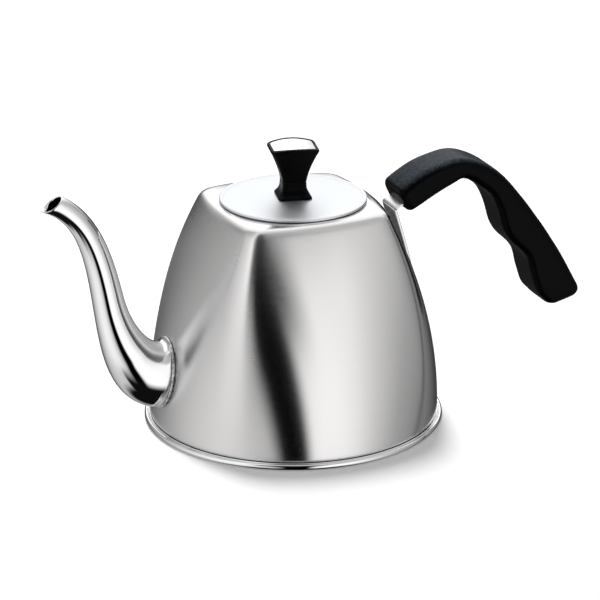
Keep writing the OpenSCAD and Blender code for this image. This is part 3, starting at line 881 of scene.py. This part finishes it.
class KETTLE_OT_spout(bpy.types.Operator):
    """Make the gooseneck spout and the weld at its root"""

    bl_idname = "kettle.make_spout"
    bl_label = "Spout"

    def execute(self, context):
        bm = bmesh.new()
        extrude_through(bm, [spout_ring(i / HALF_SPOUT_STEPS) for i in range(2 * HALF_SPOUT_STEPS + 1)])
        middle = spout_centre(1)
        point_outwards(bm, middle.y, -middle.x)
        spout = softened("spout_neck", bm, sheet=sizes().sheet)
        place(spout, "kettle", trim_steel(), "spout_tube", angle=70)

        bm = bmesh.new()
        first, last = extrude_through(bm, list(weld_rings()))
        bmesh.ops.bridge_loops(bm, edges=loop_edges(bm, first) + loop_edges(bm, last))
        bmesh.ops.recalc_face_normals(bm, faces=bm.faces)
        weld = as_object("spout_root_weld", bm)
        place(weld, "kettle", weld_steel(), "spout_weld")
        return {"FINISHED"}


# ---- Handle ---------------

HEEL = Vector((55 * MM, 109.2 * MM))
TANG_SLOPE = radians(25)
TANG_ALONG = Vector((cos(TANG_SLOPE), sin(TANG_SLOPE)))
TANG_UP = Vector((-TANG_ALONG.y, TANG_ALONG.x))
TANG_LENGTH = 31 * MM
SCREW_AT = 20 * MM
SCREW_RECESS_RADIUS = 3.65 * MM
SCREW_RECESS_DEPTH = 20 * MM
SLOT_FIT = 0.15 * MM
SLOT_MOUTH = 8 * MM
STRAP_LOW, STRAP_LEAVE = 56 * MM, 72 * MM
STRAP_SEAT_GAP = 0.1 * MM
STRAP_BEND_RADIUS = 1.6 * MM
STRAP_LEAN = radians(17)

# Outer line of the grip from the heel, with the thickness below it: along, up, thickness, in mm
GRIP = [Vector(p) * MM for p in (
    (1.4, 11.2, 14.6), (14.4, 18.7, 15), (26.7, 22.2, 13.3), (35, 23.3, 11.6), (42.8, 21.5, 11),
    (52.3, 16.8, 12.4), (60.9, 9.4, 12.1), (68.4, 0.4, 14.7), (73.9, -6.6, 18.2),
    (78.9, -13.6, 19.7), (83.9, -20.6, 18.2), (88.4, -27.6, 17.2), (92.9, -34.6, 19.7),
    (96.9, -41.6, 21.2), (100.4, -48.1, 22.2), (103.4, -53.6, 20.7),
)]
GRIP_SPANS = len(GRIP) - 1
GRIP_FRONT_RADIUS = 3.4 * MM
GRIP_FRONT_LEAN = 0.5 * MM
GRIP_END_RADIUS = 6.5 * MM
GRIP_END_LEAN = 2.5 * MM


def strap_on_wall(z):
    s = sizes()
    return Vector((side_half_width(level(z)) + STRAP_SEAT_GAP + s.strap_thickness / 2, z))


def strap_path():
    """The strap's middle line: up the wall, out over the heel and into the grip."""
    bend = []
    for i in range(7):
        a = mix(pi + STRAP_LEAN, pi / 2 + TANG_SLOPE, i / 6)
        bend.append(HEEL - STRAP_BEND_RADIUS * TANG_UP
                    + STRAP_BEND_RADIUS * Vector((cos(a), sin(a))))
    leave = strap_on_wall(STRAP_LEAVE)
    rise = (leave, leave + Vector((-1.5 * MM, 10 * MM)),
            bend[0] + 8 * MM * Vector((sin(STRAP_LEAN), -cos(STRAP_LEAN))), bend[0])
    low = [strap_on_wall(mix(STRAP_LOW, STRAP_LEAVE, i / 6)) for i in range(6)]
    end = HEEL + TANG_LENGTH * TANG_ALONG
    return (
        [low[0], low[0].lerp(low[1], 0.2)] + low[1:]
        + [bezier(rise, i / 9) for i in range(9)]
        + bend
        + [HEEL.lerp(end, k) for k in (0.05, 0.5, 0.97)] + [end]
    )


def strap_rings():
    s = sizes()
    path = strap_path()
    for i, p in enumerate(path):
        along = (path[min(i + 1, len(path) - 1)] - path[max(i - 1, 0)]).normalized()
        left = Vector((-along.y, along.x))
        yield [
            Vector((p.x + left.x * q.y, q.x, p.y + left.y * q.y))
            for q in rounded_rectangle(s.strap_width, s.strap_thickness, 0.5 * MM, steps=2, parts=6)
        ]


def grip_along(t):
    d = through(GRIP, min(t + 0.05, GRIP_SPANS)) - through(GRIP, max(t - 0.05, 0))
    return Vector((d.x, d.y)).normalized()


def grip_ring(t, ahead=0.0, inset=0.0):
    """One section of the grip, moved along it by a step and shrunk all round by an inset."""
    s = sizes()
    p, along = through(GRIP, t), grip_along(t)
    down = Vector((along.y, -along.x))
    mid = HEEL + Vector((p.x, p.y)) + down * p.z / 2 + along * ahead
    ends = GRIP_FRONT_LEAN * (1 - t / GRIP_SPANS) ** 8 + GRIP_END_LEAN * (t / GRIP_SPANS) ** 8
    lean = ends / (p.z / 2)
    ring = []
    for q in rounded_rectangle(s.grip_width - 2 * inset, p.z - 2 * inset, s.grip_edge - inset / 2,
                               steps=5, parts=4):
        r = mid - down * q.y + along * q.y * lean
        ring.append(Vector((r.x, q.x, r.y)))
    return ring


def rounding(radius, steps, t, way):
    """Sections that round off an end of the grip, which lies way -1 at its front or 1 at its tail."""
    for i in range(1, steps + 1):
        a = pi / 2 * i / steps
        yield grip_ring(t, way * radius * sin(a), radius * (1 - cos(a)))


def on_tang(along, up=0.0):
    p = HEEL + along * TANG_ALONG + up * TANG_UP
    return Vector((p.x, 0, p.y))


def tang_slot():
    """The slot that the strap's tang slides into."""
    s = sizes()
    bm = bmesh.new()
    turn = Matrix.Rotation(-TANG_SLOPE, 4, "Y")
    size = Matrix.Diagonal((TANG_LENGTH + SLOT_MOUTH + SLOT_FIT, s.strap_width + 2 * SLOT_FIT,
                            s.strap_thickness + 2 * SLOT_FIT, 1))
    middle = on_tang((TANG_LENGTH - SLOT_MOUTH + SLOT_FIT) / 2)
    bmesh.ops.create_cube(bm, size=1.0, matrix=Matrix.Translation(middle) @ turn @ size)
    return bm


class KETTLE_OT_handle(bpy.types.Operator):
    """Make the bent strap and the moulded grip on it"""

    bl_idname = "kettle.make_handle"
    bl_label = "Handle"

    def execute(self, context):
        strap = softened("handle_bracket", solid_loft(list(strap_rings())))
        fold = (pi / 2 + STRAP_LEAN + TANG_SLOPE) / 2
        along = Vector((cos(fold), 0, sin(fold)))
        bend_at = HEEL - STRAP_BEND_RADIUS * TANG_UP
        # The strap's steel carries a painted dark line of shade along its fold
        strap_steel = bent_steel("strap steel", finish().polish_colour, 0.3,
                                 (bend_at.x, 0, bend_at.y), along, 0.25 * MM)
        place(strap, "kettle", strap_steel, "handle_strap", angle=50)
        dress("strap_welds", weld_steel())

        rings = (
            list(rounding(GRIP_FRONT_RADIUS, 3, 0, -1))[::-1]
            + [grip_ring(i / 2) for i in range(2 * GRIP_SPANS + 1)]
            + list(rounding(GRIP_END_RADIUS, 5, GRIP_SPANS, 1))
        )
        grip = softened("moulded_grip", solid_loft(rings))
        recess = rod(SCREW_RECESS_RADIUS, on_tang(SCREW_AT, -SCREW_RECESS_DEPTH), on_tang(SCREW_AT))
        cut(grip, tang_slot(), recess)
        place(grip, "kettle", black_plastic(), "grip", angle=50)
        return {"FINISHED"}


# ---- Lid ------------------

LID_HOLE_RADIUS = 2.3 * MM
LID_PAD_RADIUS = 10.5 * MM
LID_RIM_RADIUS = 0.75 * MM


class KETTLE_OT_lid(bpy.types.Operator):
    """Make the lid's plate with its rolled edge, and finish the skirt"""

    bl_idname = "kettle.make_lid"
    bl_label = "Lid"

    def execute(self, context):
        sheet = sizes().sheet
        low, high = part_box("lid_disc")
        top = high.z
        rim = LID_RIM_RADIUS
        rim_at = sizes().lid_radius - rim
        rim_top = low.z + 2 * rim
        face = [(LID_HOLE_RADIUS, top)]
        for r in (LID_PAD_RADIUS, 16 * MM, 22 * MM, 27 * MM, 31 * MM, 33.5 * MM, 35 * MM):
            fall = (top - rim_top) * ((r - LID_PAD_RADIUS) / (rim_at - LID_PAD_RADIUS)) ** 3
            face.append((r, top - fall))
        groove = [
            (rim_at - inward * MM, rim_top - deep * MM)
            for inward, deep in ((1.3, 0.05), (0.9, 0.22), (0.55, 0.12))
        ]
        edge = [
            (rim_at + rim * cos(a), low.z + rim + rim * sin(a))
            for a in (radians(90 - 18 * i) for i in range(1, 15))
        ]
        under = [(r, z - sheet) for r, z in reversed(face)]
        lid = softened("lid_plate", turned_form(face + groove + edge + under), levels=1)
        satin = brushed_steel("lid steel", finish().lid_colour, finish().lid_roughness, smear=0.0)
        place(lid, "lid", satin, "lid_disc", angle=70)
        dress("lid_skirt", brushed_steel("skirt steel", finish().wall_colour, 0.3))
        return {"FINISHED"}


# ---- Knob -----------------

KNOB_CORNER = 1.8 * MM
CAP_RIM = 1.5 * MM
RIM_BAND = 1.2 * MM
FLARE_POWER = 1.35


def knob_levels():
    """Heights of the lid under the foot, of the waist joint and of the top's corners."""
    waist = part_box("knob_foot")[1].z
    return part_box("knob_foot")[0].z, waist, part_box("knob_upper")[1].z - sizes().knob_arch


def turned_with_lid(point):
    return Matrix.Rotation(sizes().lid_turn, 3, "Z") @ point


def plain_section(width, depth, z):
    return [
        turned_with_lid(Vector((p.x, p.y, z)))
        for p in rounded_rectangle(width, depth, KNOB_CORNER, steps=4, parts=8)
    ]


def knob_section(flare, inset, radius, z, share_of_arch, shrink=1.0):
    """An outline of the upper piece, bowed on its long sides and lifted by the arch."""
    s = sizes()
    w = mix(s.knob_waist_width, s.knob_top_width, flare) - 2 * inset
    d = mix(s.knob_waist_depth, s.knob_top_depth, flare) - 2 * inset
    points = []
    for p in rounded_rectangle(w, d, radius, steps=4, parts=8):
        x = p.x * shrink
        y = (p.y + copysign(flare * s.knob_bow * (1 - (2 * p.x / w) ** 2), p.y)) * shrink
        lift = share_of_arch * s.knob_arch * (1 - (2 * x / s.knob_top_width) ** 2)
        points.append(turned_with_lid(Vector((x, y, z + lift))))
    return points


class KETTLE_OT_knob(bpy.types.Operator):
    """Make the knob: a square foot, a flared upper piece and a bright cap"""

    bl_idname = "kettle.make_knob"
    bl_label = "Knob"

    def execute(self, context):
        s = sizes()
        low, waist, edge = knob_levels()
        line = 0.15 * MM
        rings = [plain_section(s.knob_foot_width, s.knob_foot_width, low)]
        for i in range(10):
            t = i / 9
            pull = (1 - t) ** 3
            rings.append(plain_section(
                mix(s.knob_waist_width, s.knob_foot_width, pull),
                mix(s.knob_waist_depth, s.knob_foot_width, pull),
                mix(low + 0.8 * MM, waist - 2 * line, t),
            ))
        rings.append(plain_section(s.knob_waist_width - 3 * line, s.knob_waist_depth - 3 * line, waist))
        foot = softened("knob_base", solid_loft(rings))
        place(foot, "lid", black_plastic(), "knob_foot", angle=60)

        rings = [knob_section(0, 1.5 * line, KNOB_CORNER, waist, 0)]
        for i in range(13):
            t = i / 12
            flare = t**FLARE_POWER
            rings.append(knob_section(flare, 0, KNOB_CORNER,
                                      mix(waist + 2 * line, edge - RIM_BAND, t), flare))
        for a in map(radians, (30, 60)):
            rings.append(knob_section(1, 0.6 * CAP_RIM * (1 - cos(a)), 1.5 * MM,
                                      mix(edge - RIM_BAND, edge, sin(a)), 1))
        rings += [
            knob_section(1, CAP_RIM - 0.15 * MM, 1.1 * MM, edge, 1),
            knob_section(1, CAP_RIM, MM, edge - 0.1 * MM, 1),
            knob_section(1, CAP_RIM, MM, edge - 0.9 * MM, 1),
            knob_section(1, CAP_RIM, MM, edge - MM, 1, 0.97),
            knob_section(1, CAP_RIM, MM, edge - MM, 1, 0.6),
        ]
        upper = softened("knob_flare", solid_loft(rings))
        place(upper, "lid", black_plastic(), "knob_upper", angle=60)

        inset, soft = CAP_RIM + 0.08 * MM, 0.12 * MM
        base, top = edge - 0.9 * MM, edge - 0.35 * MM
        rings = [knob_section(1, inset, MM, base, 1, k) for k in (0.3, 0.6, 0.97)]
        rings += [
            knob_section(1, inset, MM, base, 1),
            knob_section(1, inset, MM, top - soft, 1),
            knob_section(1, inset + soft, MM, top, 1),
        ]
        rings += [knob_section(1, inset, MM, top, 1, k) for k in (0.9, 0.6, 0.3)]
        cap = softened("knob_plate", solid_loft(rings))
        place(cap, "lid",
              polished_steel("cap steel", finish().polish_colour, 0.1), "knob_cap", angle=60)
        return {"FINISHED"}


class KETTLE_OT_fasteners(bpy.types.Operator):
    """Finish the screws, washers and threaded inserts"""

    bl_idname = "kettle.make_fasteners"
    bl_label = "Fasteners"

    def execute(self, context):
        bright = polished_steel("screw steel", darker(finish().polish_colour, 0.85), 0.2)
        for node in ("grip_screw", "grip_washer", "knob_screw", "knob_washer"):
            dress(node, bright)
        for node in ("grip_insert", "knob_insert"):
            dress(node, brass("insert brass", finish().brass_colour))
        return {"FINISHED"}


# ---- Stage ----------------

VIEW_AZIMUTH = radians(-22)
VIEW_ELEVATION = radians(20.5)
VIEW_DISTANCE = 1.7
VIEW_HEIGHT = 63.2 * MM
VIEW_SIDESTEP = 3.54 * MM
VIEW_LENS = 196.8

LAMP_PLACE = Vector((0.0, 0.58, 1.58))
LAMP_AIM = Vector((0.0, 0.0, 0.05))
LAMP_WATTS = 23.0
LAMP_SIZE = 0.5
FLOOR_GLOW = 0.15

# Pieces whose shadow the key lamp lays on the floor. The spout and the grip leave it clear.
SHADOW_CASTERS = ("body_wall", "rolled_seam", "lid_plate", "knob_base", "knob_flare", "knob_plate")

# Brightness of the studio round the kettle, by the angle from the camera: angle, brightness
STUDIO_LOW = ((-180, 0.3), (-120, 0.55), (-75, 0.66), (-48, 0.6), (-38, 0.005), (46, 0.005),
              (56, 0.4), (90, 0.4), (130, 0.2), (180, 0.2))
STUDIO_LEVEL = ((-180, 0.05), (-155, 0.06), (-140, 0.2), (-125, 0.36), (-110, 0.54),
                (-92, 0.74), (-60, 1.0), (-34, 0.95), (-16, 0.62), (-6, 0.0), (11, 0.0), (14, 0.55),
                (17.5, 1.1), (24, 1.18), (38, 1.16), (50, 1.02), (65, 0.72), (85, 0.44), (112, 0.28),
                (116, 0.04), (120, 0.25), (140, 0.15), (160, 0.05), (180, 0.05))
STUDIO_HIGH = ((-180, 1.6), (-162, 1.55), (-148, 0.5), (-122, 0.32), (-106, 0.44), (-88, 0.62),
               (-58, 0.95), (-44, 1.2), (-36, 1.1), (-30, 0.5), (-24, 0.0), (18, 0.0), (24, 0.5),
               (30, 1.08), (50, 1.08), (62, 0.84), (75, 0.62), (95, 0.5), (112, 0.5), (116, 0.04),
               (121, 0.5), (146, 0.6), (160, 1.55), (180, 1.6))
STUDIO_TOP = ((-180, 1.3), (-140, 1.1), (-122, 0.4), (-60, 0.7), (-38, 1.0), (-26, 0.5), (-14, 0.1),
              (12, 0.1), (30, 0.45), (60, 0.6), (112, 0.55), (140, 1.1), (180, 1.3))

# Colours straight below and above, and the even light that falls on dull surfaces
STUDIO_BELOW = (0.005, 0.005, 0.005)
STUDIO_ABOVE = (0.86, 0.88, 0.91)
STUDIO_FILL = (0.3, 0.3, 0.3)


def studio_ramp(tree, factor, stops):
    ramp = add(tree, "ValToRGB")
    tree.links.new(factor, ramp.inputs["Fac"])
    elements = ramp.color_ramp.elements
    while len(elements) > 1:
        elements.remove(elements[-1])
    for i, (angle, value) in enumerate(stops):
        stop = elements[0] if i == 0 else elements.new((angle + 180) / 360)
        stop.position = (angle + 180) / 360
        stop.color = (value, value, value, 1.0)
    return ramp.outputs["Color"]


def make_world():
    """A white studio. What shines in the metal has a dark gap towards the camera and grey sides."""
    world = bpy.data.worlds.new("studio")
    bpy.context.scene.world = world
    world.use_nodes = True
    tree = world.node_tree
    tree.nodes.clear()
    direction = add(tree, "TexCoord").outputs["Generated"]
    facing = add(tree, "VectorRotate", {
        "Vector": direction, "Axis": (0, 0, 1), "Angle": -VIEW_AZIMUTH,
    }, rotation_type="AXIS_ANGLE").outputs["Vector"]
    axes = add(tree, "SeparateXYZ", {"Vector": facing}).outputs
    side = maths(tree, "ARCTAN2", axes["X"], maths(tree, "MULTIPLY", axes["Y"], -1.0))
    factor = remap(tree, side, -pi, pi, 0.0, 1.0)
    rise = maths(tree, "ARCSINE", axes["Z"])
    low, mid, high, top = (
        studio_ramp(tree, factor, s) for s in (STUDIO_LOW, STUDIO_LEVEL, STUDIO_HIGH, STUDIO_TOP)
    )

    shine = STUDIO_BELOW
    for band, start, end in (
        (low, -68, -52), (mid, -50, -28), (high, 6, 20), (top, 25, 40), (STUDIO_ABOVE, 68, 84)
    ):
        risen = remap(tree, rise, radians(start), radians(end), 0.0, 1.0, "SMOOTHSTEP")
        shine = blend(tree, risen, shine, band)
    rays = add(tree, "LightPath").outputs
    colour_out = blend(tree, rays["Is Glossy Ray"], STUDIO_FILL, shine)
    colour_out = blend(tree, rays["Is Camera Ray"], colour_out, (1.0, 1.0, 1.0))
    light = add(tree, "Background", {"Color": colour_out, "Strength": 1.0})
    tree.links.new(light.outputs[0], add(tree, "OutputWorld").inputs[0])


def make_floor():
    """A wide pale floor that keeps the shadow. The camera sees it a little paler than it is."""
    bm = bmesh.new()
    bmesh.ops.create_circle(bm, cap_ends=True, segments=96, radius=6.0)
    floor = as_object("studio_floor", bm)
    material, tree, shader, _ = new_material("floor paint", (0.93, 0.93, 0.93), 0.0)
    shader.inputs["Roughness"].default_value = 1.0
    shader.inputs["Specular IOR Level"].default_value = 0.0
    rays = add(tree, "LightPath").outputs
    seen = maths(tree, "MULTIPLY", rays["Is Camera Ray"], FLOOR_GLOW)
    tree.links.new(seen, shader.inputs["Emission Strength"])
    floor.data.materials.append(material)
    floor.visible_glossy = False
    floor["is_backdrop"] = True


def make_lamp():
    """A high soft lamp behind the kettle, for the shadow in front of it."""
    lamp = bpy.data.lights.new("key lamp", "AREA")
    lamp.shape = "DISK"
    lamp.size = LAMP_SIZE
    lamp.energy = LAMP_WATTS
    item = bpy.data.objects.new("key lamp", lamp)
    item.location = LAMP_PLACE
    item.rotation_euler = (LAMP_AIM - LAMP_PLACE).to_track_quat("-Z", "Y").to_euler()
    item.visible_glossy = False
    bpy.context.scene.collection.objects.link(item)
    casters = bpy.data.collections.new("shadow casters")
    for piece in SHADOW_CASTERS:
        casters.objects.link(bpy.data.objects[piece])
    item.light_linking.blocker_collection = casters


def make_camera():
    back = Vector((
        sin(VIEW_AZIMUTH) * cos(VIEW_ELEVATION),
        -cos(VIEW_AZIMUTH) * cos(VIEW_ELEVATION),
        sin(VIEW_ELEVATION),
    ))
    right = Vector((cos(VIEW_AZIMUTH), sin(VIEW_AZIMUTH), 0))
    data = bpy.data.cameras.new("camera")
    data.lens = VIEW_LENS
    data.sensor_width = 36.0
    data.clip_end = 20.0
    camera = bpy.data.objects.new("camera", data)
    camera.location = back * VIEW_DISTANCE + Vector((0, 0, VIEW_HEIGHT)) + right * VIEW_SIDESTEP
    camera.rotation_euler = back.to_track_quat("Z", "Y").to_euler()
    bpy.context.scene.collection.objects.link(camera)
    bpy.context.scene.camera = camera


class KETTLE_OT_stage(bpy.types.Operator):
    """Make the camera, the pale floor, the lamp and the studio"""

    bl_idname = "kettle.make_stage"
    bl_label = "Stage"

    def execute(self, context):
        context.scene.view_settings.view_transform = "Standard"
        make_camera()
        make_world()
        make_floor()
        make_lamp()
        return {"FINISHED"}


# ---- Sidebar --------------

STEPS = (
    KETTLE_OT_body, KETTLE_OT_base, KETTLE_OT_spout, KETTLE_OT_handle, KETTLE_OT_lid,
    KETTLE_OT_knob, KETTLE_OT_fasteners, KETTLE_OT_stage,
)


class KETTLE_PT_sidebar(bpy.types.Panel):
    """The kettle's pieces, sizes and colours"""

    bl_idname = "KETTLE_PT_sidebar"
    bl_label = "Kettle"
    bl_space_type = "VIEW_3D"
    bl_region_type = "UI"
    bl_category = "Kettle"

    def draw(self, context):
        column = self.layout.column(align=True)
        for step in STEPS:
            column.operator(step.bl_idname)
        for group in (context.scene.kettle_sizes, context.scene.kettle_finish):
            box = self.layout.box().column(align=True)
            for name in group.__annotations__:
                box.prop(group, name)


CLASSES = (KettleSizes, KettleFinish, *STEPS, KETTLE_PT_sidebar)


def register():
    for cls in CLASSES:
        bpy.utils.register_class(cls)
    bpy.types.Scene.kettle_sizes = PointerProperty(type=KettleSizes)
    bpy.types.Scene.kettle_finish = PointerProperty(type=KettleFinish)


def unregister():
    del bpy.types.Scene.kettle_finish
    del bpy.types.Scene.kettle_sizes
    for cls in reversed(CLASSES):
        bpy.utils.unregister_class(cls)


def main():
    register()
    for step in STEPS:
        group, name = step.bl_idname.split(".")
        getattr(getattr(bpy.ops, group), name)()
    boxes = {"cad": CAD_BOX, "visual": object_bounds()}
    {k: [list(corner) for corner in box] for k, box in boxes.items()}


if __name__ == "__main__":
    main()
